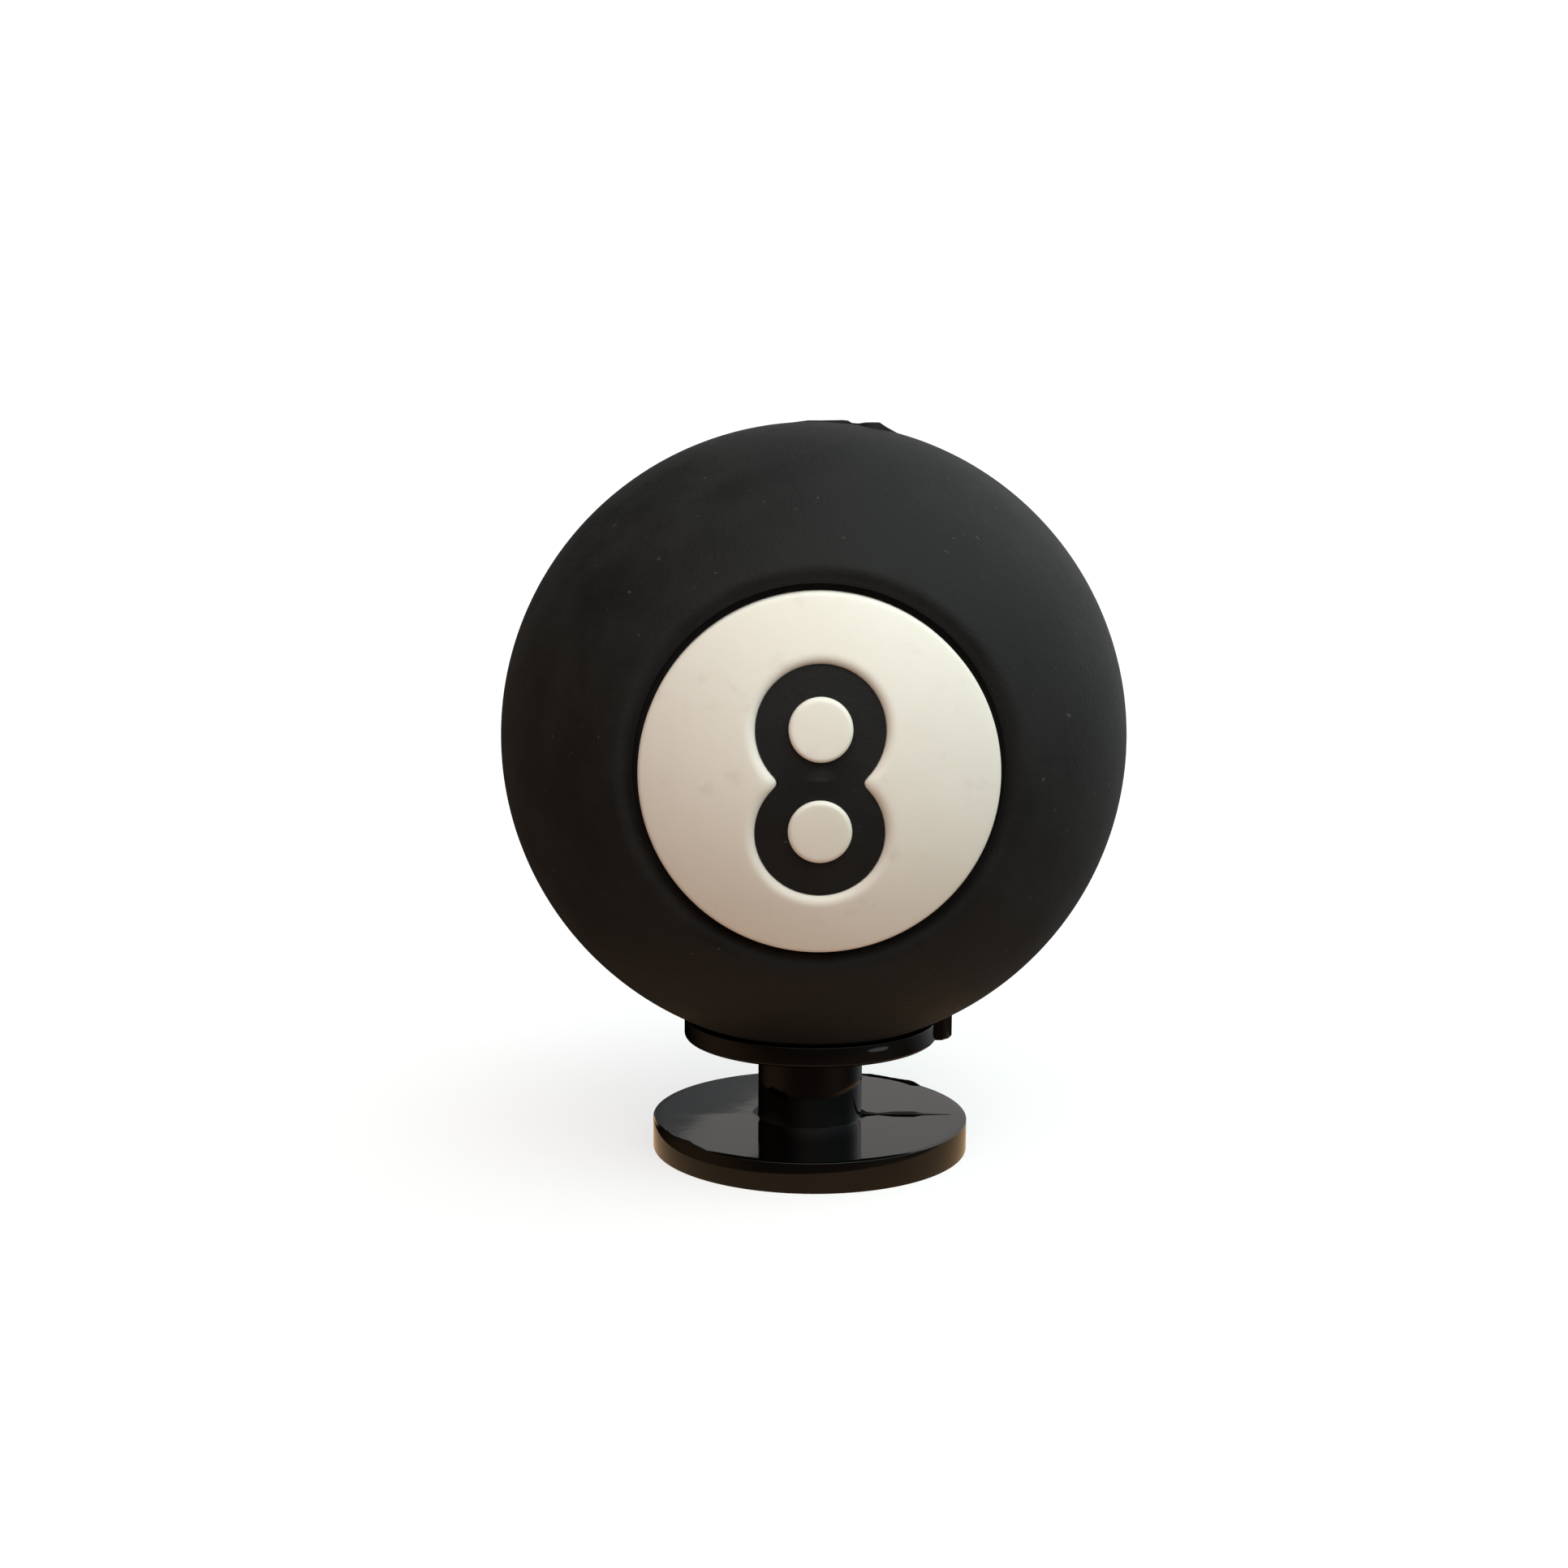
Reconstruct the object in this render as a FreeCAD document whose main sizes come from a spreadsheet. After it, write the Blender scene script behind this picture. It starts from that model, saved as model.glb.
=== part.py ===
"""Novelty eight ball on a round stud, in millimetres.

The ball is two hollow soft-PVC halves that meet in the plane y = 0, through
the stud's axis. A tongue on the front half fills a groove in the back half,
and together they trap the head of the hard plastic stud. Each half has a
round recess that holds a numeral inlay (a thin plate with a raised figure
eight), a white number disc with a window for the eight, and two white dots
that fill the eight's counters.

The origin is the centre of the stud's underside, +Z is up, and the front of
the ball faces -Y. Each piece of the ball is drawn about the ball's centre and
facing +Y, and its Placement lifts it and turns it to its own side.
"""
import FreeCAD, Part
import math
import os
import re
import Sketcher

# How a sketch's own elements are numbered in its constraints
ORIGIN = -1
ACROSS = -1
UPRIGHT = -2
START = 1
END = 2
CENTRE = 3

DIMENSIONS = {
    # ball
    "ball_radius": 12.0,
    "flat_depth": 11.1,          # ball centre down to the flat on the stud
    "cavity_radius": 9.0,
    "cavity_depth": 6.3,         # ball centre to the cavity's flat end
    # recess for the number
    "recess_radius": 6.5,
    "recess_floor": 8.1,         # ball centre to the recess's floor
    "recess_round": 0.4,
    # tongue and groove along the seam
    "tongue_inner": 9.8,
    "tongue_outer": 10.5,
    "tongue_reach": 0.8,
    # boss that holds the stud's head
    "boss_radius": 5.9,
    "boss_top": 6.9,             # ball centre down to the boss's top
    "boss_bottom": 9.6,
    # numeral inlay, number disc and dots
    "plate_thickness": 0.8,
    "disc_radius": 6.25,
    "lobe_radius": 2.2,
    "lobe_offset": 1.76,         # eight's centre to each lobe's centre
    "waist_round": 0.2,
    "numeral_drop": 0.25,        # how far the eight lies below the disc's face
    "numeral_shift": 0.08,       # how far the eight sits below the disc's centre
    "dot_radius": 1.09,
    "dot_offset": 1.74,          # ball centre to each dot's centre
    "edge_round": 0.12,          # on the disc, its window and the dots
    # stud
    "base_radius": 6.2,
    "base_thickness": 1.2,
    "stem_radius": 2.05,
    "stem_gap": 3.25,            # clear height between base and flange
    "flange_radius": 4.97,
    "flange_thickness": 0.8,
    "head_radius": 4.0,
    "head_top": 8.0,             # ball centre down to the head's top
    "head_bottom": 9.2,
    "stub_reach": 5.55,          # stud's axis to the end of the gate stub
    "stub_width": 1.0,
    "stud_round": 0.06,
}

# Formulas that several pieces share
PLATE_FACE = "recess_floor + plate_thickness"
NUMERAL_FACE = "ball_radius - numeral_drop"
FLANGE_TOP = "base_thickness + stem_gap + flange_thickness"
BALL_HEIGHT = FLANGE_TOP + " + flat_depth"

document = FreeCAD.newDocument("eight_ball")


def make_sheet():
    """Put the driving dimensions in a spreadsheet, each with its alias."""
    cells = document.addObject("Spreadsheet::Sheet", "Sizes")
    for row, (alias, size) in enumerate(DIMENSIONS.items(), start=1):
        cells.set(f"A{row}", alias)
        cells.set(f"B{row}", str(size))
        cells.setAlias(f"B{row}", alias)
    document.recompute()
    return cells


sheet = make_sheet()


# ---------------------------------------------------------------- formulas

def value(formula):
    """Work out a formula of the sheet's aliases."""
    return float(sheet.evalExpression(formula))


def bind(thing, name, formula):
    """Bind a property to a formula of the sheet's aliases."""
    def with_sheet(word):
        return f"Sizes.{word[0]}" if word[0] in DIMENSIONS else word[0]
    thing.setExpression(name, re.sub(r"[a-z_]+", with_sheet, formula))


def chord(radius, offset):
    """How far a sphere of this radius reaches at this offset from its centre."""
    return f"sqrt(({radius})^2 - ({offset})^2)"


# ---------------------------------------------------------------- sketches

def make_body(label):
    body = document.addObject("PartDesign::Body", label)
    body.Label = label
    return body


def make_sketch(body, name, plane, offset="0"):
    """Attach a sketch to one of the body's planes, offset along its normal."""
    sketch = body.newObject("Sketcher::SketchObject", name)
    base = next(item for item in body.Origin.OriginFeatures if item.Role == plane)
    sketch.AttachmentSupport = (base, [""])
    sketch.MapMode = "FlatFace"
    bind(sketch, "AttachmentOffset.Base.z", offset)
    return sketch


def constrain(sketch, kind, *where, formula):
    """Add a constraint whose size follows a formula."""
    number = sketch.addConstraint(Sketcher.Constraint(kind, *where, value(formula)))
    bind(sketch, f"Constraints[{number}]", formula)


def pin(sketch, edge, end, x, y):
    """Hold one end of an edge at the place (x, y), given as formulas."""
    for formula, kind, axis in ((x, "DistanceX", UPRIGHT), (y, "DistanceY", ACROSS)):
        if formula == "0":
            sketch.addConstraint(Sketcher.Constraint("PointOnObject", edge, end, axis))
        else:
            constrain(sketch, kind, ORIGIN, START, edge, end, formula=formula)


def arc_about_origin(start, finish):
    """Make the shorter arc between two points that are as far from the origin."""
    angles = [math.atan2(point.y, point.x) for point in (start, finish)]
    forward = start.cross(finish).z > 0
    circle = Part.Circle(FreeCAD.Vector(), FreeCAD.Vector(0, 0, 1), start.Length)
    arc = Part.ArcOfCircle(circle, *(angles if forward else reversed(angles)))
    return arc, (START, END) if forward else (END, START)


def draw_outline(sketch, corners, arcs=()):
    """Draw a closed outline through corners, given as pairs of formulas.

    Edge n runs from corner n to the next one. The edges numbered in arcs are
    arcs about the sketch's origin, and the others are straight.
    """
    points = [FreeCAD.Vector(value(x), value(y)) for x, y in corners]
    edges = []
    for number, start in enumerate(points):
        finish = points[(number + 1) % len(points)]
        if number in arcs:
            shape, ends = arc_about_origin(start, finish)
        else:
            shape, ends = Part.LineSegment(start, finish), (START, END)
        edges.append((sketch.addGeometry(shape), ends))
    for number, (edge, ends) in enumerate(edges):
        following, following_ends = edges[(number + 1) % len(edges)]
        sketch.addConstraint(Sketcher.Constraint(
            "Coincident", edge, ends[1], following, following_ends[0]))
        pin(sketch, edge, ends[0], *corners[number])
        if number in arcs:
            sketch.addConstraint(Sketcher.Constraint("PointOnObject", edge, CENTRE, UPRIGHT))


def draw_circle(sketch, radius, y="0"):
    """Draw a circle with its centre on the sketch's upright axis."""
    centre = FreeCAD.Vector(0, value(y))
    circle = sketch.addGeometry(Part.Circle(centre, FreeCAD.Vector(0, 0, 1), value(radius)))
    constrain(sketch, "Radius", circle, formula=radius)
    pin(sketch, circle, CENTRE, "0", y)


def draw_eight(sketch):
    """Draw the figure eight: two round lobes, blended where they meet."""
    lobe, offset, blend, shift = (value(name) for name in (
        "lobe_radius", "lobe_offset", "waist_round", "numeral_shift"))
    normal = FreeCAD.Vector(0, 0, 1)
    waist = math.sqrt((lobe + blend) ** 2 - offset ** 2)
    meet = math.atan2(offset, waist)
    upper, left, lower, right = (sketch.addGeometry(Part.ArcOfCircle(
        Part.Circle(FreeCAD.Vector(x, y), normal, radius), first, last))
        for x, y, radius, first, last in (
            (0, offset - shift, lobe, -meet, math.pi + meet),
            (-waist, -shift, blend, -meet, meet),
            (0, -offset - shift, lobe, math.pi - meet, 2 * math.pi + meet),
            (waist, -shift, blend, math.pi - meet, math.pi + meet)))
    for first, first_end, second, second_end in (
            (upper, END, left, END), (left, START, lower, START),
            (lower, END, right, END), (right, START, upper, START)):
        sketch.addConstraint(Sketcher.Constraint("Tangent", first, first_end, second, second_end))
    for first, second in ((upper, lower), (left, right)):
        sketch.addConstraint(Sketcher.Constraint("Equal", first, second))
    pin(sketch, upper, CENTRE, "0", "lobe_offset - numeral_shift")
    pin(sketch, lower, CENTRE, "0", "-lobe_offset - numeral_shift")
    constrain(sketch, "Radius", upper, formula="lobe_radius")
    constrain(sketch, "Radius", left, formula="waist_round")


# ---------------------------------------------------------------- features

def make_feature(body, kind, name, profile=None):
    feature = body.newObject(f"PartDesign::{kind}", name)
    if profile:
        feature.Profile = profile
    return feature


def turn(body, kind, name, profile):
    """Turn a profile once round its sketch's upright axis."""
    feature = make_feature(body, kind, name, profile)
    feature.ReferenceAxis = (profile, ["V_Axis"])
    feature.Angle = 360
    return feature


def extrude(body, kind, name, profile, length, reverse=False):
    """Pad or pocket a profile by a length given as a formula."""
    feature = make_feature(body, kind, name, profile)
    bind(feature, "Length", length)
    feature.Reversed = reverse
    return feature


def round_edges(body, name, radius, wanted):
    """Fillet the edges that the test `wanted` picks from the body so far."""
    document.recompute()
    tip = body.Tip
    names = [f"Edge{number}" for number, edge in enumerate(tip.Shape.Edges, start=1) if wanted(edge)]
    feature = make_feature(body, "Fillet", name)
    feature.Base = (tip, names)
    bind(feature, "Radius", radius)
    return feature


def on_sphere(edge, radius, reach):
    """Say whether an edge lies on a sphere about the centre, within a reach of +Y."""
    points = edge.discretize(5)
    return all(abs(point.Length - radius) < 1e-4 and math.hypot(point.x, point.z) < reach
               for point in points)


def is_circle(edge, radius, height):
    """Say whether an edge is a level circle of this radius at this height."""
    return (isinstance(edge.Curve, Part.Circle) and abs(edge.Curve.Radius - radius) < 1e-4
            and abs(edge.Curve.Center.z - height) < 1e-4)


def place(body, facing):
    """Lift a piece of the ball to the ball's height and turn it to its side."""
    bind(body, "Placement.Base.z", BALL_HEIGHT)
    body.Placement.Rotation = FreeCAD.Rotation(FreeCAD.Vector(0, 0, 1), facing)


# ------------------------------------------------------------------ pieces

def make_ball_half(label, facing, has_tongue):
    """Make a half shell with its recess, stud seat, and tongue or groove."""
    body = make_body(label)

    shell = make_sketch(body, "shell_profile", "XY_Plane")
    draw_outline(shell, [
        ("cavity_radius", "0"),
        ("ball_radius", "0"),
        ("recess_radius", chord("ball_radius", "recess_radius")),
        ("recess_radius", "recess_floor"),
        ("0", "recess_floor"),
        ("0", "cavity_depth"),
        (chord("cavity_radius", "cavity_depth"), "cavity_depth"),
    ], arcs=(1, 6))
    turn(body, "Revolution", "shell", shell)

    boss = make_sketch(body, "boss_profile", "XY_Plane", "-boss_top")
    draw_outline(boss, [("boss_radius", "0"), ("0", "boss_radius"), ("-boss_radius", "0")], arcs=(0, 1))
    extrude(body, "Pad", "boss", boss, "boss_bottom - boss_top", reverse=True)

    seam = make_sketch(body, "seam_profile", "XZ_Plane")
    draw_circle(seam, "tongue_outer")
    draw_circle(seam, "tongue_inner")
    extrude(body, "Pad" if has_tongue else "Pocket", "seam_joint", seam, "tongue_reach")

    bottom = make_sketch(body, "bottom_profile", "XY_Plane", "-flat_depth")
    draw_circle(bottom, "ball_radius")
    extrude(body, "Pocket", "flat_bottom", bottom, "ball_radius - flat_depth")

    seat = make_sketch(body, "seat_profile", "XZ_Plane")
    draw_outline(seat, [
        ("0", "-flat_depth"),
        ("stem_radius", "-flat_depth"),
        ("stem_radius", "-head_bottom"),
        ("head_radius", "-head_bottom"),
        ("head_radius", "-head_top"),
        ("0", "-head_top"),
    ])
    turn(body, "Groove", "stud_seat", seat)

    sphere = value("ball_radius")
    lip = value("recess_radius") + 0.1
    round_edges(body, "recess_lip", "recess_round", lambda edge: on_sphere(edge, sphere, lip))
    place(body, facing)
    return body


def trim_to_sphere(body, name, radius, reach):
    """Cut away all that lies outside a sphere, out to a reach from the Y axis."""
    beyond = f"{radius} + numeral_drop"
    profile = make_sketch(body, f"{name}_profile", "XY_Plane")
    draw_outline(profile, [
        ("0", radius),
        ("0", beyond),
        (reach, beyond),
        (reach, chord(radius, reach)),
    ], arcs=(3,))
    turn(body, "Groove", name, profile)


def make_numeral_inlay(label, facing):
    """Make the plate and the raised eight, with holes for the two dots."""
    body = make_body(label)
    plate = make_sketch(body, "plate_profile", "XZ_Plane", "-recess_floor")
    draw_circle(plate, "recess_radius")
    extrude(body, "Pad", "plate", plate, "plate_thickness", reverse=True)

    eight = make_sketch(body, "eight_profile", "XZ_Plane", f"-({PLATE_FACE})")
    draw_eight(eight)
    for height in ("dot_offset", "-dot_offset"):
        draw_circle(eight, "dot_radius", height)
    extrude(body, "Pad", "eight", eight, f"{NUMERAL_FACE} - ({PLATE_FACE})", reverse=True)
    trim_to_sphere(body, "eight_face", NUMERAL_FACE, "lobe_offset + lobe_radius + waist_round")
    place(body, facing)
    return body


def make_number_disc(label, facing):
    """Make the domed white disc with its window for the eight."""
    body = make_body(label)
    edge_height = chord("ball_radius", "disc_radius")
    dome = make_sketch(body, "dome_profile", "XY_Plane")
    draw_outline(dome, [
        ("0", PLATE_FACE),
        ("disc_radius", PLATE_FACE),
        ("disc_radius", edge_height),
        ("0", "ball_radius"),
    ], arcs=(2,))
    turn(body, "Revolution", "dome", dome)

    window = make_sketch(body, "window_profile", "XZ_Plane", f"-({PLATE_FACE})")
    draw_eight(window)
    extrude(body, "Pocket", "window", window, "ball_radius")

    sphere = value("ball_radius")
    reach = value("disc_radius") + 0.1
    round_edges(body, "soft_edges", "edge_round", lambda edge: on_sphere(edge, sphere, reach))
    place(body, facing)
    return body


def make_dot(label, facing, height):
    """Make a round white peg that stands through the eight's counter."""
    body = make_body(label)
    peg = make_sketch(body, "peg_profile", "XZ_Plane", f"-({PLATE_FACE})")
    draw_circle(peg, "dot_radius", height)
    extrude(body, "Pad", "peg", peg, f"ball_radius - ({PLATE_FACE})", reverse=True)
    trim_to_sphere(body, "dot_face", "ball_radius", "dot_offset + dot_radius + waist_round")

    sphere = value("ball_radius")
    reach = value("lobe_offset + lobe_radius")
    round_edges(body, "soft_edge", "edge_round", lambda edge: on_sphere(edge, sphere, reach))
    place(body, facing)
    return body


def make_stud(label):
    """Make the base, stem, flange, neck and head as the one moulding they are."""
    body = make_body(label)
    head_bottom = f"{BALL_HEIGHT} - head_bottom"
    head_top = f"{BALL_HEIGHT} - head_top"
    flange_bottom = "base_thickness + stem_gap"
    profile = make_sketch(body, "stud_profile", "XZ_Plane")
    draw_outline(profile, [
        ("0", "0"),
        ("base_radius", "0"),
        ("base_radius", "base_thickness"),
        ("stem_radius", "base_thickness"),
        ("stem_radius", flange_bottom),
        ("flange_radius", flange_bottom),
        ("flange_radius", FLANGE_TOP),
        ("stem_radius", FLANGE_TOP),
        ("stem_radius", head_bottom),
        ("head_radius", head_bottom),
        ("head_radius", head_top),
        ("0", head_top),
    ])
    turn(body, "Revolution", "turned_shape", profile)

    stub = make_sketch(body, "stub_profile", "XY_Plane", flange_bottom)
    draw_outline(stub, [
        ("stem_radius + flange_thickness", "-stub_width / 2"),
        ("stub_reach", "-stub_width / 2"),
        ("stub_reach", "stub_width / 2"),
        ("stem_radius + flange_thickness", "stub_width / 2"),
    ])
    extrude(body, "Pad", "gate_stub", stub, "flange_thickness")

    rims = [(value("base_radius"), 0.0), (value("base_radius"), value("base_thickness")),
            (value("stem_radius"), value("base_thickness")), (value("stem_radius"), value(flange_bottom))]
    round_edges(body, "soft_rims", "stud_round", lambda edge: any(is_circle(edge, *rim) for rim in rims))
    return body


def make_ball_side(side, facing, has_tongue):
    """Make one half of the ball and the number that it carries."""
    return [
        make_ball_half(f"ball_{side}_half", facing, has_tongue),
        make_numeral_inlay(f"{side}_numeral_inlay", facing),
        make_number_disc(f"{side}_number_disc", facing),
        make_dot(f"{side}_upper_dot", facing, "dot_offset"),
        make_dot(f"{side}_lower_dot", facing, "-dot_offset"),
    ]


# ------------------------------------------------------------ build, check

def check(pieces):
    """Stop if any object has failed or any piece is not one sound solid."""
    for item in document.Objects:
        if {"Invalid", "Error"} & set(item.State):
            raise RuntimeError(f"{item.Name} has failed: {item.State}")
    for piece in pieces:
        shape = piece.Shape
        if shape.isNull() or not shape.isValid() or len(shape.Solids) != 1:
            raise RuntimeError(f"{piece.Label} is not one sound solid")
        box = shape.optimalBoundingBox(False)
        print(f"{piece.Label:22s} {shape.Volume:9.2f} mm3"
              f"  x {box.XMin:7.2f} {box.XMax:7.2f}  y {box.YMin:7.2f} {box.YMax:7.2f}"
              f"  z {box.ZMin:7.2f} {box.ZMax:7.2f}")


def main():
    pieces = [make_stud("stud")]
    pieces += make_ball_side("front", 180, has_tongue=True)
    pieces += make_ball_side("back", 0, has_tongue=False)
    document.recompute()
    check(pieces)
    os.makedirs("parts", exist_ok=True)
    for piece in pieces:
        piece.Shape.exportStep(f"parts/{piece.Label}.step")


main()
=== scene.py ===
"""Looks of the eight-ball charm: moulded black PVC ball, white number, glossy stud."""
import math

import bmesh
import bpy
import numpy as np
from mathutils import Matrix, Vector, noise


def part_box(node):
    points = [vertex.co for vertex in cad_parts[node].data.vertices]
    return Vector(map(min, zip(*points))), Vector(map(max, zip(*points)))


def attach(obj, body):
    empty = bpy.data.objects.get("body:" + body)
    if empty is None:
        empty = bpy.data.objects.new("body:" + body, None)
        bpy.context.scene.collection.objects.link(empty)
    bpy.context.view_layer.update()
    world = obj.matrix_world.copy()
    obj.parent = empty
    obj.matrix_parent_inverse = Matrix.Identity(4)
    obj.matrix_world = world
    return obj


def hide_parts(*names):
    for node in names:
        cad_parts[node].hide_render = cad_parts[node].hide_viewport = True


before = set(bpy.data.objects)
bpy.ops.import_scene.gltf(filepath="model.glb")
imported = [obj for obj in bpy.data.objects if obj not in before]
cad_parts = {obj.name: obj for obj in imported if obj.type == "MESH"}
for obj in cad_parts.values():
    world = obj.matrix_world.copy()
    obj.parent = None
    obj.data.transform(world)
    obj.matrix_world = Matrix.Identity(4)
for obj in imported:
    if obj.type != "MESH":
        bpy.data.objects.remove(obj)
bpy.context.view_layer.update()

MM = 0.001

# ------------------------------------------------- places, from the frame

half_low, half_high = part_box("ball_front_half")
BALL_RADIUS = (half_high.x - half_low.x) / 2
BALL_CENTRE = Vector((0, 0, half_high.z - BALL_RADIUS))
FLAT_HEIGHT = half_low.z

plate_low, plate_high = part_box("front_numeral_inlay")
RECESS_RADIUS = (plate_high.x - plate_low.x) / 2
RECESS_FLOOR = -plate_high.y

disc_low, disc_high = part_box("front_number_disc")
DISC_RADIUS = (disc_high.x - disc_low.x) / 2
PLATE_FACE = -disc_high.y

dot_low, dot_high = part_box("front_upper_dot")
DOT_RADIUS = (dot_high.x - dot_low.x) / 2
DOT_OFFSET = (dot_high.z + dot_low.z) / 2 - BALL_CENTRE.z

stud_low, stud_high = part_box("stud")
BASE_RADIUS = (stud_high.y - stud_low.y) / 2

# ---------------------------------------- sizes that no box gives, in metres

CAVITY_RADIUS = 9.0 * MM
CAVITY_DEPTH = 6.3 * MM
LOBE_RADIUS = 2.2 * MM
LOBE_OFFSET = 1.76 * MM
NUMERAL_SHIFT = 0.08 * MM   # how far the eight sits below the disc's centre
WAIST_BLEND = 0.35 * MM
BASE_THICKNESS = 1.2 * MM
STEM_RADIUS = 2.05 * MM
FLANGE_RADIUS = 4.97 * MM
FLANGE_THICKNESS = 0.8 * MM
FLANGE_BOTTOM = FLAT_HEIGHT - FLANGE_THICKNESS
HEAD_RADIUS = 4.0 * MM
HEAD_THICKNESS = 1.2 * MM
STUB_REACH = 5.55 * MM      # stud's axis to the broken end of its gate
STUB_WIDTH = 1.0 * MM
LEFT_DRAFT = math.tan(math.radians(0.25))   # slope of the base's top, down from its parting line
RIGHT_DRAFT = 0.2 * LEFT_DRAFT

LIP_ROUND = 0.45 * MM       # mouth of the ball's recess
SEAM_ROUND = 0.05 * MM      # where the two halves meet
DISC_ROUND = 0.14 * MM      # rim of the white disc
WINDOW_ROUND = 0.42 * MM    # edge of the eight's window
DOT_ROUND = 0.16 * MM
STUD_ROUND = 0.03 * MM
FOOT_ROUND = 0.02 * MM      # where the stem meets the base
FLANGE_ROUND = 0.15 * MM    # the flange's lower edge

BALL_SEGMENTS = 240
DISC_SEGMENTS = 320
DOT_SEGMENTS = 128
STUD_SEGMENTS = 256
WELD = 0.002 * MM           # points nearer to each other than this become one

SIDES = {"front": math.pi, "back": 0.0}   # turn that takes a piece from facing +Y to its side

# ------------------------------------ flash and gates, in millimetres and degrees

FLASH_ROOT = 0.1            # how deep flash is rooted in the surface that it stands on

# Flash left on the base's parting line: (distance from the stud's axis, height)
BASE_FLASH = ((2.0, 0.24), (2.25, 0.1), (2.7, 0.05), (3.3, 0.11), (4.1, 0.12), (4.5, 0.05), (5.6, 0.015))
BASE_FLASH_HALF = 0.04      # half its thickness

# Flash left on the base's upper edge: (degrees round from +X, height)
REAR_RIM_FLASH = ((41, 0.0), (44, 0.07), (46.5, 0.12), (49, 0.06), (56, 0.045), (64, 0.05), (71, 0.0))
FRONT_RIM_FLASH = ((178, 0.0), (184, 0.1), (191, 0.16), (198, 0.12), (205, 0.17), (212, 0.11), (220, 0.15),
                   (229, 0.0))
RIM_FOOT = 0.14             # in from the base's edge to the fin's foot
RIM_CREST = 0.05            # in from the edge to the fin's crest
RIM_OUTSIDE = 0.01          # in from the edge to the fin's outside
RIM_RAGGED = 0.35           # share of the fin's height that comes and goes
RIM_PITCH = 3               # degrees over which it does so

# Trimmed gate on top of the ball, either side of the seam: (place along the
# seam from the top, height, how far its foot reaches in front)
BALL_FLASH = ((-0.9, 0.0, 0.2), (-0.3, 0.05, 0.4), (0.2, 0.05, 0.4), (1.0, 0.11, 0.6), (1.2, 0.11, 0.6),
              (1.34, 0.04, 0.4), (1.6, 0.05, 0.6), (1.85, 0.13, 0.9), (2.15, 0.19, 1.05), (2.38, 0.23, 1.0),
              (2.66, 0.12, 0.85), (3.1, 0.0, 0.3))
BALL_CREST_SHARE = 0.9      # how much of the foot's reach in front the crest has
BALL_CREST_BACK = 0.05      # how far the crest reaches behind the seam
BALL_FOOT_BACK = 0.15       # how far the foot does

# Gate stub on the flange: (share of its length, how far its sides draw in)
STUB_TAPER = ((0, 0.0), (0.55, 0.0), (0.85, 0.06), (1, 0.16))
STUB_ROOT = 0.3             # how far it starts inside the flange's edge
STUB_BEVEL = 0.06           # bevel along its lower edges
STUB_DROP = 0.1             # how far it hangs below the flange
STUB_INTO_BALL = 0.03       # how far its top reaches into the ball
STUB_TOP_TAPER = 0.4        # how much its top draws in, as a share of its sides


# ------------------------------------------------------------ mesh helpers

def make_object(name, vertices, faces):
    """Make a mesh object in the scene from its points and faces."""
    mesh = bpy.data.meshes.new(name)
    mesh.from_pydata([tuple(vertex) for vertex in vertices], [], faces)
    obj = bpy.data.objects.new(name, mesh)
    bpy.context.scene.collection.objects.link(obj)
    return obj


def clean(obj, sharp_degrees=35):
    """Weld, face outward, shade smooth and keep hard corners hard."""
    mesh = obj.data
    shape = bmesh.new()
    shape.from_mesh(mesh)
    bmesh.ops.remove_doubles(shape, verts=shape.verts, dist=WELD)
    bmesh.ops.dissolve_degenerate(shape, edges=shape.edges, dist=WELD / 2)
    bmesh.ops.recalc_face_normals(shape, faces=shape.faces)
    shape.to_mesh(mesh)
    shape.free()
    mesh.shade_smooth()
    mesh.set_sharp_from_angle(angle=math.radians(sharp_degrees))
    return obj


def arc(centre, radius, first, last, steps):
    """Points on an arc about a centre, from angle to angle in degrees."""
    angles = np.radians(np.linspace(first, last, steps + 1))
    return [(centre[0] + radius * math.cos(angle), centre[1] + radius * math.sin(angle)) for angle in angles]


def straight(start, finish, steps):
    """Points along a line, without the last one."""
    return [(start[0] + (finish[0] - start[0]) * n / steps,
             start[1] + (finish[1] - start[1]) * n / steps) for n in range(steps)]


def round_angles(segments):
    """Equal steps of angle once round, in radians."""
    return np.linspace(0, 2 * math.pi, segments, endpoint=False)


def loop_faces(loops, segments, closed=False):
    """Quads between loops that each have the same number of points."""
    faces = []
    for loop in range(loops if closed else loops - 1):
        here, there = loop * segments, (loop + 1) % loops * segments
        for n in range(segments):
            after = (n + 1) % segments
            faces.append((here + n, here + after, there + after, there + n))
    return faces


def lathe(profile, segments):
    """Turn a profile of (radius, height) points about Z. Gives vertices and faces."""
    vertices = [Vector((radius * math.cos(angle), radius * math.sin(angle), height))
                for radius, height in profile for angle in round_angles(segments)]
    return vertices, loop_faces(len(profile), segments)


def merge(*shells):
    """Put several closed shells, each (vertices, faces), into one pair of lists."""
    vertices, faces = [], []
    for more_vertices, more_faces in shells:
        start = len(vertices)
        vertices += more_vertices
        faces += [tuple(start + n for n in face) for face in more_faces]
    return vertices, faces


def ridge(sections):
    """A closed ridge through sections of equally many points, capped at its ends."""
    count = len(sections[0])
    vertices = [Vector(point) for section in sections for point in section]
    faces = loop_faces(len(sections), count)
    last = len(vertices) - count
    return vertices, faces + [tuple(range(count)), tuple(range(last, last + count))]


def face_side(vertices, turn):
    """Move points drawn about the ball's centre, facing +Y, to their own side."""
    place = Matrix.Translation(BALL_CENTRE) @ Matrix.Rotation(turn, 4, "Z")
    return [place @ Vector(vertex) for vertex in vertices]


def ball_depth(x, z):
    """How far the ball's surface is from a plane through its centre, at a place there."""
    return math.sqrt(max(BALL_RADIUS ** 2 - x ** 2 - z ** 2, 0.0))


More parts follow.
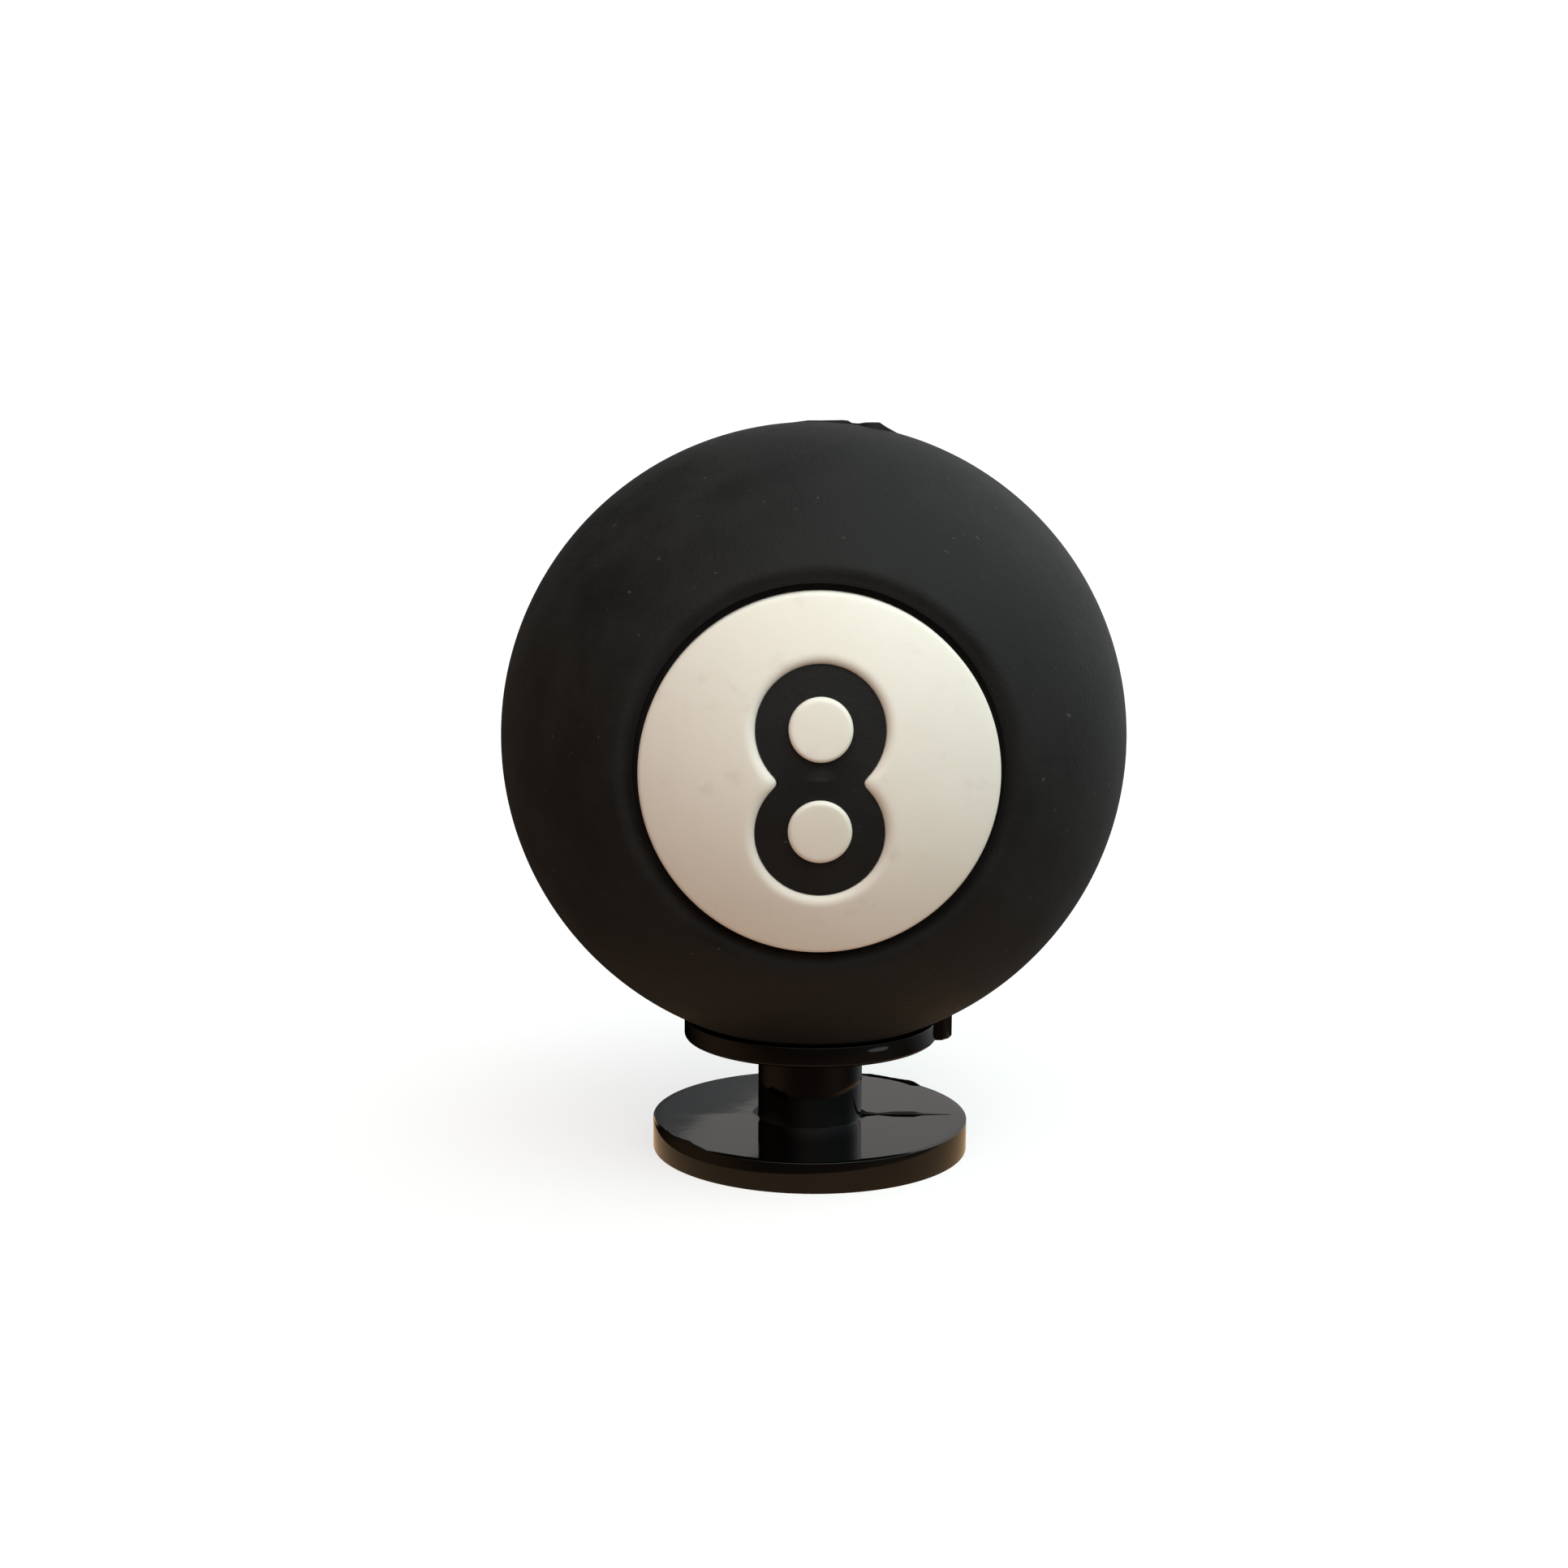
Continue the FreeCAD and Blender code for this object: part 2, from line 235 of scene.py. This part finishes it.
def rounding(distance, radius):
    """How far a rounded edge falls at this distance in from the edge."""
    inward = radius - min(max(distance, 0.0), radius)
    return radius - math.sqrt(radius ** 2 - inward ** 2)


def rounding_steps(radius, steps):
    """Distances in from an edge, closest together at the edge, across its rounding."""
    return [radius * (1 - math.cos(math.pi / 2 * n / steps)) for n in range(steps + 1)]


# ---------------------------------------------------------------- the ball

def ball_half_profile():
    """Outline of a half shell: (distance from its axis, distance from the seam)."""
    lip_axis = RECESS_RADIUS + LIP_ROUND
    lip_height = math.sqrt((BALL_RADIUS - LIP_ROUND) ** 2 - lip_axis ** 2)
    lip_degrees = math.degrees(math.atan2(lip_height, lip_axis))
    seam_degrees = math.degrees(SEAM_ROUND / BALL_RADIUS)
    cavity_edge = math.sqrt(CAVITY_RADIUS ** 2 - CAVITY_DEPTH ** 2)
    cavity_degrees = math.degrees(math.asin(CAVITY_DEPTH / CAVITY_RADIUS))
    profile = [(CAVITY_RADIUS, 0)]
    profile += arc((BALL_RADIUS - SEAM_ROUND, SEAM_ROUND), SEAM_ROUND, -90, 0, steps=4)[:-1]
    profile += arc((0, 0), BALL_RADIUS, seam_degrees, lip_degrees, steps=44)
    profile += arc((lip_axis, lip_height), LIP_ROUND, lip_degrees, 180, steps=10)[1:]
    profile += straight((RECESS_RADIUS, lip_height), (RECESS_RADIUS, RECESS_FLOOR), steps=3)[1:]
    profile += straight((RECESS_RADIUS, RECESS_FLOOR), (0, RECESS_FLOOR), steps=4)
    profile += [(0, RECESS_FLOOR), (0, CAVITY_DEPTH)]
    profile += straight((0, CAVITY_DEPTH), (cavity_edge, CAVITY_DEPTH), steps=4)[1:]
    profile += arc((0, 0), CAVITY_RADIUS, cavity_degrees, 0, steps=14)[:-1]
    return profile + [(CAVITY_RADIUS, 0)]


def ball_flash():
    """What is left of the mould's gate and flash on the seam at the ball's top."""
    sections = []
    for along, height, reach in BALL_FLASH:
        angle = along * MM / BALL_RADIUS
        out, up = math.sin(angle), math.cos(angle)
        outline = ((-reach, -FLASH_ROOT), (-BALL_CREST_SHARE * reach, height),
                   (BALL_CREST_BACK, height), (BALL_FOOT_BACK, -FLASH_ROOT))
        section = []
        for back, rise in outline:
            level = ball_depth(back * MM, 0) + rise * MM
            section.append(BALL_CENTRE + Vector((out * level, back * MM, up * level)))
        sections.append(section)
    return ridge(sections)


def make_ball_half(side, turn):
    """A half shell, cut flat underneath where it sits on the flange."""
    vertices, faces = lathe(ball_half_profile(), BALL_SEGMENTS)
    vertices = face_side([Vector((point.x, point.z, -point.y)) for point in vertices], turn)
    if side == "front":
        vertices, faces = merge((vertices, faces), ball_flash())
    obj = make_object(f"ball_{side}_shell", vertices, faces)
    shape = bmesh.new()
    shape.from_mesh(obj.data)
    bmesh.ops.remove_doubles(shape, verts=shape.verts, dist=WELD)
    cut = bmesh.ops.bisect_plane(
        shape, geom=shape.verts[:] + shape.edges[:] + shape.faces[:],
        plane_co=(0, 0, FLAT_HEIGHT), plane_no=(0, 0, -1), clear_outer=True)
    rim = [item for item in cut["geom_cut"] if isinstance(item, bmesh.types.BMEdge)]
    bmesh.ops.holes_fill(shape, edges=rim)
    shape.to_mesh(obj.data)
    shape.free()
    return clean(obj)


# -------------------------------------------------------------- the number

def eight_distance(x, z):
    """Distance outside the figure eight, softened where its lobes meet."""
    above = math.hypot(x, z + NUMERAL_SHIFT - LOBE_OFFSET) - LOBE_RADIUS
    below = math.hypot(x, z + NUMERAL_SHIFT + LOBE_OFFSET) - LOBE_RADIUS
    mix = max(WAIST_BLEND - abs(above - below), 0.0) / WAIST_BLEND
    return min(above, below) - mix ** 2 * WAIST_BLEND / 4


def eight_reach(angle, distance):
    """How far from the centre, at this angle, a point is this far outside the eight."""
    halvings = 40
    low, high = 0.0, DISC_RADIUS
    for _ in range(halvings):
        middle = (low + high) / 2
        if eight_distance(middle * math.cos(angle), middle * math.sin(angle)) < distance:
            low = middle
        else:
            high = middle
    return high


def disc_height(x, z):
    """Height of the white disc's domed face, with its rim and window rounded off."""
    fall = rounding(DISC_RADIUS - math.hypot(x, z), DISC_ROUND)
    fall += rounding(max(eight_distance(x, z), 0.0), WINDOW_ROUND)
    return ball_depth(x, z) - fall


def make_number_disc(side, turn):
    """The white disc: loops from its rim, over its face, into the eight's window."""
    face_loops, round_loops = 18, 8
    shoulder = DISC_RADIUS - DISC_ROUND
    columns = []
    for angle in round_angles(DISC_SEGMENTS):
        lip = eight_reach(angle, WINDOW_ROUND)
        radii = [DISC_RADIUS - step for step in rounding_steps(DISC_ROUND, round_loops)]
        radii += [shoulder + (lip - shoulder) * n / face_loops for n in range(1, face_loops)]
        radii += [eight_reach(angle, step) for step in reversed(rounding_steps(WINDOW_ROUND, round_loops))]
        points = [(radius * math.cos(angle), radius * math.sin(angle)) for radius in radii]
        column = [Vector((x, disc_height(x, z), z)) for x, z in points]
        rim_foot, window_foot = [Vector((x, PLATE_FACE, z)) for x, z in (points[0], points[-1])]
        columns.append([rim_foot, *column, window_foot])
    loops = len(columns[0])
    vertices = [column[loop] for loop in range(loops) for column in columns]
    faces = loop_faces(loops, DISC_SEGMENTS, closed=True)
    return clean(make_object(f"{side}_disc_shell", face_side(vertices, turn), faces), sharp_degrees=50)


def make_dot(side, turn, place, height):
    """A white dot: loops from its foot, over its rounded rim, to its middle."""
    cap_loops, round_loops = 10, 6
    radii = [DOT_RADIUS] + [DOT_RADIUS - step for step in rounding_steps(DOT_ROUND, round_loops)]
    radii += [(DOT_RADIUS - DOT_ROUND) * (1 - n / cap_loops) for n in range(1, cap_loops + 1)]
    vertices = []
    for loop, radius in enumerate(radii):
        for angle in round_angles(DOT_SEGMENTS):
            x, z = radius * math.cos(angle), height + radius * math.sin(angle)
            top = ball_depth(x, z) - rounding(DOT_RADIUS - radius, DOT_ROUND)
            vertices.append(Vector((x, PLATE_FACE if loop == 0 else top, z)))
    faces = loop_faces(len(radii), DOT_SEGMENTS)
    faces.append(tuple(range(DOT_SEGMENTS)))
    return clean(make_object(f"{side}_{place}_dot_peg", face_side(vertices, turn), faces), sharp_degrees=50)


# ---------------------------------------------------------------- the stud

def stud_profile():
    """Outline of the stud: (distance from its axis, height), corners rounded."""
    corner, foot = STUD_ROUND, FOOT_ROUND
    base_edge, stem_foot = BASE_RADIUS - corner, STEM_RADIUS + foot
    stem_low, stem_high = BASE_THICKNESS + foot, FLANGE_BOTTOM - corner
    flange_centre = (FLANGE_RADIUS - FLANGE_ROUND, FLANGE_BOTTOM + FLANGE_ROUND)
    top = stud_high.z
    head = top - HEAD_THICKNESS
    profile = straight((0, 0), (base_edge, 0), steps=6)
    profile += arc((base_edge, corner), corner, -90, 0, steps=4)
    profile += arc((base_edge, BASE_THICKNESS - corner), corner, 0, 90, steps=4)
    profile += straight((base_edge, BASE_THICKNESS), (stem_foot, BASE_THICKNESS), steps=16)[1:]
    profile += arc((stem_foot, stem_low), foot, 270, 180, steps=3)
    profile += straight((STEM_RADIUS, stem_low), (STEM_RADIUS, stem_high), steps=6)[1:]
    profile += arc((STEM_RADIUS + corner, stem_high), corner, 180, 90, steps=4)
    profile += arc(flange_centre, FLANGE_ROUND, -90, 0, steps=6)
    profile += arc((FLANGE_RADIUS - corner, FLAT_HEIGHT - corner), corner, 0, 90, steps=4)
    profile += [(STEM_RADIUS, FLAT_HEIGHT), (STEM_RADIUS, head), (HEAD_RADIUS, head)]
    return profile + [(HEAD_RADIUS, top), (0, top)]


def slope_base(vertices):
    """Let the base's top fall away from the parting line, most on the left."""
    top_band = 1.5 * STUD_ROUND
    for vertex in vertices:
        if abs(vertex.z - BASE_THICKNESS) < top_band:
            draft = np.interp(vertex.x, (-STEM_RADIUS, STEM_RADIUS), (LEFT_DRAFT, RIGHT_DRAFT))
            vertex.z -= draft * abs(vertex.y)


def base_flash():
    """A thin fin along the right of the base's parting line."""
    half = BASE_FLASH_HALF * MM
    return ridge([[(x * MM, -half, BASE_THICKNESS - half),
                   (x * MM, 0, BASE_THICKNESS + height * MM),
                   (x * MM, half, BASE_THICKNESS - half)] for x, height in BASE_FLASH])


def rim_flash(heights):
    """A thin ragged fin that stands on part of the base's upper edge."""
    first, last = heights[0][0], heights[-1][0]
    sections = []
    for degrees in np.linspace(first, last, round(last - first)):
        height = float(np.interp(degrees, *zip(*heights)))
        height *= 1 + RIM_RAGGED * noise.noise(Vector((degrees / RIM_PITCH, 0, 0)))
        outline = ((RIM_FOOT, -FLASH_ROOT), (RIM_CREST, height),
                   (RIM_OUTSIDE, height), (RIM_OUTSIDE, -FLASH_ROOT))
        out = Vector((math.cos(math.radians(degrees)), math.sin(math.radians(degrees)), 0))
        sections.append([out * (BASE_RADIUS - inset * MM) + Vector((0, 0, BASE_THICKNESS + rise * MM))
                         for inset, rise in outline])
    return ridge(sections)


def gate_stub():
    """The broken end of the stud's gate, between the flange's edge and the ball."""
    root, bevel = FLANGE_RADIUS - STUB_ROOT * MM, STUB_BEVEL * MM
    sections = []
    for share, shrink in STUB_TAPER:
        x = root + share * (STUB_REACH - root)
        half = STUB_WIDTH / 2 - shrink * MM
        low = FLANGE_BOTTOM + (shrink - STUB_DROP) * MM
        high = BALL_CENTRE.z - ball_depth(x, half) + (STUB_INTO_BALL - STUB_TOP_TAPER * shrink) * MM
        sections.append([(x, -half + bevel, low), (x, half - bevel, low), (x, half, low + bevel),
                         (x, half, high), (x, -half, high), (x, -half, low + bevel)])
    return ridge(sections)


def make_stud():
    """The stud's one moulding, with its flash and gate stub as ridges on it."""
    vertices, faces = lathe(stud_profile(), STUD_SEGMENTS)
    slope_base(vertices)
    rims = [rim_flash(heights) for heights in (REAR_RIM_FLASH, FRONT_RIM_FLASH)]
    shells = merge((vertices, faces), base_flash(), *rims, gate_stub())
    return clean(make_object("stud_moulding", *shells))


# --------------------------------------------------------------- materials

def new_material(name):
    """A material with its node tree and its shader."""
    material = bpy.data.materials.new(name)
    material.use_nodes = True
    return material, material.node_tree, material.node_tree.nodes["Principled BSDF"]


def noise_node(tree, size, detail=4, rough=0.5):
    """Noise in object space whose features are about this many metres across."""
    place = tree.nodes.new("ShaderNodeTexCoord")
    texture = tree.nodes.new("ShaderNodeTexNoise")
    texture.inputs["Scale"].default_value = 1 / size
    texture.inputs["Detail"].default_value = detail
    texture.inputs["Roughness"].default_value = rough
    tree.links.new(place.outputs["Object"], texture.inputs["Vector"])
    return texture.outputs["Fac"]


def ramp(tree, source, stops):
    """Colour ramp from a value, given as two (position, colour) pairs."""
    node = tree.nodes.new("ShaderNodeValToRGB")
    for element, (position, colour) in zip(node.color_ramp.elements, stops):
        element.position = position
        element.color = (*colour, 1)
    tree.links.new(source, node.inputs["Fac"])
    return node.outputs["Color"]


def remap(tree, source, low, high, start=0.3, stop=0.7):
    """Turn a value that runs from start to stop into one that runs from low to high."""
    node = tree.nodes.new("ShaderNodeMapRange")
    for name, setting in (("From Min", start), ("From Max", stop), ("To Min", low), ("To Max", high)):
        node.inputs[name].default_value = setting
    tree.links.new(source, node.inputs["Value"])
    return node.outputs["Result"]


def bump(tree, layers):
    """Chain of bumps, each (height source, depth in metres), fed to the shader."""
    normal = None
    for source, depth in layers:
        node = tree.nodes.new("ShaderNodeBump")
        node.inputs["Distance"].default_value = depth
        tree.links.new(source, node.inputs["Height"])
        if normal:
            tree.links.new(normal, node.inputs["Normal"])
        normal = node.outputs["Normal"]
    return normal


def spotted(tree, share, ground, spot):
    """A ground with spots of one colour, by a share from 0 to 1."""
    node = tree.nodes.new("ShaderNodeMix")
    node.data_type = "RGBA"
    tree.links.new(share, node.inputs["Factor"])
    tree.links.new(ground, node.inputs["A"])
    node.inputs["B"].default_value = (*spot, 1)
    return node.outputs["Result"]


def black_pvc():
    """Matt black soft PVC: cloudy, finely grained, with a few pale specks of dust."""
    material, tree, shader = new_material("black_pvc")
    mottle = noise_node(tree, 2.6 * MM, detail=6, rough=0.62)
    grain = noise_node(tree, 0.14 * MM, detail=3)
    pits = noise_node(tree, 0.45 * MM, detail=2)
    specks = remap(tree, noise_node(tree, 0.3 * MM, detail=1), 0.0, 1.0, start=0.76, stop=0.80)
    cloudy = ramp(tree, mottle, [(0.36, (0.0060, 0.0058, 0.0058)), (0.66, (0.0122, 0.0118, 0.0118))])
    tree.links.new(spotted(tree, specks, cloudy, (0.04, 0.038, 0.034)), shader.inputs["Base Color"])
    shader.inputs["Specular IOR Level"].default_value = 0.18
    shader.inputs["Sheen Weight"].default_value = 0.024
    shader.inputs["Sheen Roughness"].default_value = 0.4
    tree.links.new(remap(tree, mottle, 0.60, 0.78), shader.inputs["Roughness"])
    tree.links.new(bump(tree, [(mottle, 0.03 * MM), (pits, 0.012 * MM), (grain, 0.02 * MM)]),
                   shader.inputs["Normal"])
    return material


def white_pvc():
    """Warm white soft PVC, a little cloudy and stained."""
    material, tree, shader = new_material("white_pvc")
    cloud = noise_node(tree, 4 * MM, detail=4, rough=0.55)
    fine = noise_node(tree, 0.4 * MM, detail=3)
    stains = remap(tree, noise_node(tree, 1.3 * MM, detail=3, rough=0.6), 0.0, 1.0, start=0.6, stop=0.74)
    warm = ramp(tree, cloud, [(0.3, (0.775, 0.742, 0.685)), (0.7, (0.80, 0.772, 0.72))])
    tree.links.new(spotted(tree, stains, warm, (0.73, 0.695, 0.635)), shader.inputs["Base Color"])
    shader.inputs["Specular IOR Level"].default_value = 0.3
    shader.inputs["Subsurface Weight"].default_value = 0.15
    shader.inputs["Subsurface Radius"].default_value = (0.6, 0.45, 0.35)
    shader.inputs["Subsurface Scale"].default_value = 0.5 * MM
    tree.links.new(remap(tree, fine, 0.56, 0.62), shader.inputs["Roughness"])
    tree.links.new(bump(tree, [(cloud, 0.03 * MM), (fine, 0.006 * MM)]), shader.inputs["Normal"])
    return material


def gloss_plastic():
    """Glossy black plastic with faint flow marks and a slight haze."""
    material, tree, shader = new_material("gloss_black_plastic")
    flow = noise_node(tree, 1.6 * MM, detail=2)
    haze = noise_node(tree, 0.9 * MM, detail=5, rough=0.7)
    tree.links.new(ramp(tree, flow, [(0.3, (0.001, 0.0009, 0.0009)), (0.7, (0.0017, 0.0015, 0.0015))]),
                   shader.inputs["Base Color"])
    shader.inputs["Specular IOR Level"].default_value = 0.28
    tree.links.new(remap(tree, haze, 0.04, 0.09), shader.inputs["Roughness"])
    tree.links.new(bump(tree, [(flow, 0.005 * MM)]), shader.inputs["Normal"])
    return material


BLACK = black_pvc()
WHITE = white_pvc()
GLOSS = gloss_plastic()


def finish_piece(obj, material, node):
    """Give a piece its material, and let it stand in for its CAD node."""
    obj.data.materials.append(material)
    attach(obj, "root")
    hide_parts(node)


def paint_node(node, material):
    """Give a CAD node that stays in view its finished material."""
    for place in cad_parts[node].material_slots:
        place.material = material


for side, turn in SIDES.items():
    finish_piece(make_ball_half(side, turn), BLACK, f"ball_{side}_half")
    finish_piece(make_number_disc(side, turn), WHITE, f"{side}_number_disc")
    for place, height in (("upper", DOT_OFFSET), ("lower", -DOT_OFFSET)):
        finish_piece(make_dot(side, turn, place, height), WHITE, f"{side}_{place}_dot")
    paint_node(f"{side}_numeral_inlay", BLACK)
finish_piece(make_stud(), GLOSS, "stud")


# ------------------------------------------------------------------- stage

FLOOR_TONE = 1.03           # how bright the view behind the floor looks
FLOOR_ALBEDO = 0.32
FLOOR_GLOW = 0.7            # keeps the shadow on the floor faint
FLOOR_SIZE = 40             # metres across
FLOOR_CLOUDS = 0.05         # metres across, the faint clouds in its tone
CARD_SEGMENTS = 96
GLOW_FOCUS = 6.0            # how tightly each glow keeps to its own way

# Soft light in the room: azimuth (0 is the camera's side, 90 the right), rise, colour
ROOM_GLOWS = (
    (0, 52, (3.3, 2.85, 2.6)),          # window, high in front
    (60, 52, (1.8, 2.6, 2.55)),         # its cooler light from the right
    (135, 28, (1.65, 1.7, 1.75)),       # pale wall behind, to the right
    (0, -50, (0.32, 0.22, 0.165)),      # warm light off the table in front,
    (60, -25, (0.24, 0.18, 0.13)),      # to the right,
    (300, -25, (0.17, 0.1, 0.05)),      # to the left
    (0, -90, (1.15, 0.8, 0.58)),        # and underneath
    (270, 0, (0.27, 0.17, 0.11)),       # warm wall on the left
)

# Round cards that only reflections see, in millimetres: name, centre, way they
# face, radius, colour
CARDS = (
    ("back_card", (12.4, 60, 42.7), (-12.4, -60, -42), 30, (0.6, 0.585, 0.56)),
    ("table_card", (1.4, 0, -0.05), (0, 0, 1), 9.5, (0.76, 0.5, 0.29)),
    ("side_card", (27.0, -17.4, -0.05), (0, 0, 1), 5.5, (1.6, 1.63, 1.7)),
)

CAMERA_DISTANCE = 7.4 * BALL_RADIUS
CAMERA_RISE = math.radians(7.583)
CAMERA_YAW = math.radians(-1.275)
CAMERA_ROLL = math.radians(0.42)
CAMERA_AIM = BALL_CENTRE + Vector((-0.0931, 0, -0.159)) * BALL_RADIUS
CAMERA_LENS = 52.66         # focal length and film width, in millimetres
CAMERA_FILM = 36


def make_floor():
    """A pale floor that shows and takes the shadow, and throws no light back up."""
    bpy.ops.mesh.primitive_plane_add(size=FLOOR_SIZE)
    floor = bpy.context.object
    floor.name = "floor"
    duller, pale = [(FLOOR_ALBEDO * shade,) * 3 for shade in (0.99, 1.0)]
    material, tree, shader = new_material("pale_floor")
    shader.inputs["Roughness"].default_value = 0.9
    shader.inputs["Specular IOR Level"].default_value = 0.0
    shader.inputs["Emission Color"].default_value = (1, 1, 1, 1)
    shader.inputs["Emission Strength"].default_value = FLOOR_GLOW
    tree.links.new(ramp(tree, noise_node(tree, FLOOR_CLOUDS), [(0.3, duller), (0.7, pale)]),
                   shader.inputs["Base Color"])
    floor.data.materials.append(material)
    floor.visible_diffuse = False
    floor.visible_glossy = False
    floor.visible_shadow = False


def make_card(name, centre, facing, radius, colour):
    """A glowing round card that is seen only in reflections."""
    bpy.ops.mesh.primitive_circle_add(vertices=CARD_SEGMENTS, radius=radius * MM, fill_type="NGON")
    card = bpy.context.object
    card.name = name
    card.location = Vector(centre) * MM
    card.rotation_mode = "QUATERNION"
    card.rotation_quaternion = Vector(facing).to_track_quat("Z", "Y")
    material, tree, shader = new_material(name)
    shader.inputs["Base Color"].default_value = (0, 0, 0, 1)
    shader.inputs["Specular IOR Level"].default_value = 0.0
    shader.inputs["Emission Color"].default_value = (*colour, 1)
    shader.inputs["Emission Strength"].default_value = 1.0
    card.data.materials.append(material)
    card.visible_camera = False
    card.visible_diffuse = False
    card.visible_shadow = False


def math_node(tree, operation, source, number):
    """One step of arithmetic on a value."""
    node = tree.nodes.new("ShaderNodeMath")
    node.operation = operation
    tree.links.new(source, node.inputs[0])
    node.inputs[1].default_value = number
    return node.outputs["Value"]


def glow(tree, way, azimuth, rise, colour):
    """Soft light from one side of the room, brightest in its middle."""
    turn, lift = math.radians(azimuth), math.radians(rise)
    toward = (math.sin(turn) * math.cos(lift), -math.cos(turn) * math.cos(lift), math.sin(lift))
    facing = tree.nodes.new("ShaderNodeVectorMath")
    facing.operation = "DOT_PRODUCT"
    facing.inputs[1].default_value = toward
    tree.links.new(way, facing.inputs[0])
    share = math_node(tree, "POWER", math_node(tree, "MAXIMUM", facing.outputs["Value"], 0.0), GLOW_FOCUS)
    tint = tree.nodes.new("ShaderNodeVectorMath")
    tint.operation = "SCALE"
    tint.inputs[0].default_value = colour
    tree.links.new(share, tint.inputs["Scale"])
    return tint.outputs["Vector"]


def make_world():
    """Room light as a sum of soft glows, with a plain pale view for the camera."""
    world = bpy.data.worlds.new("studio")
    bpy.context.scene.world = world
    world.use_nodes = True
    tree = world.node_tree
    way = tree.nodes.new("ShaderNodeTexCoord").outputs["Generated"]
    total = glow(tree, way, *ROOM_GLOWS[0])
    for azimuth, rise, colour in ROOM_GLOWS[1:]:
        add = tree.nodes.new("ShaderNodeVectorMath")
        tree.links.new(glow(tree, way, azimuth, rise, colour), add.inputs[0])
        tree.links.new(total, add.inputs[1])
        total = add.outputs["Vector"]
    room = tree.nodes["Background"]
    tree.links.new(total, room.inputs["Color"])
    view = tree.nodes.new("ShaderNodeBackground")
    view.inputs["Color"].default_value = (FLOOR_TONE, FLOOR_TONE, FLOOR_TONE, 1)
    path = tree.nodes.new("ShaderNodeLightPath")
    choice = tree.nodes.new("ShaderNodeMixShader")
    tree.links.new(path.outputs["Is Camera Ray"], choice.inputs["Fac"])
    tree.links.new(room.outputs["Background"], choice.inputs[1])
    tree.links.new(view.outputs["Background"], choice.inputs[2])
    tree.links.new(choice.outputs["Shader"], tree.nodes["World Output"].inputs["Surface"])


def make_camera():
    """Camera at the photograph's viewing angle: a little above, nearly head on."""
    level = math.cos(CAMERA_RISE)
    way = Vector((math.sin(CAMERA_YAW) * level, -math.cos(CAMERA_YAW) * level, math.sin(CAMERA_RISE)))
    place = BALL_CENTRE + way * CAMERA_DISTANCE
    look = (CAMERA_AIM - place).to_track_quat("-Z", "Y").to_matrix().to_4x4()
    data = bpy.data.cameras.new("camera")
    data.lens = CAMERA_LENS
    data.sensor_width = CAMERA_FILM
    data.clip_start = 1 * MM
    camera = bpy.data.objects.new("camera", data)
    bpy.context.scene.collection.objects.link(camera)
    camera.matrix_world = Matrix.Translation(place) @ look @ Matrix.Rotation(CAMERA_ROLL, 4, "Z")
    bpy.context.scene.camera = camera


make_floor()
for card in CARDS:
    make_card(*card)
make_world()
make_camera()
bpy.context.scene.view_settings.view_transform = "Standard"
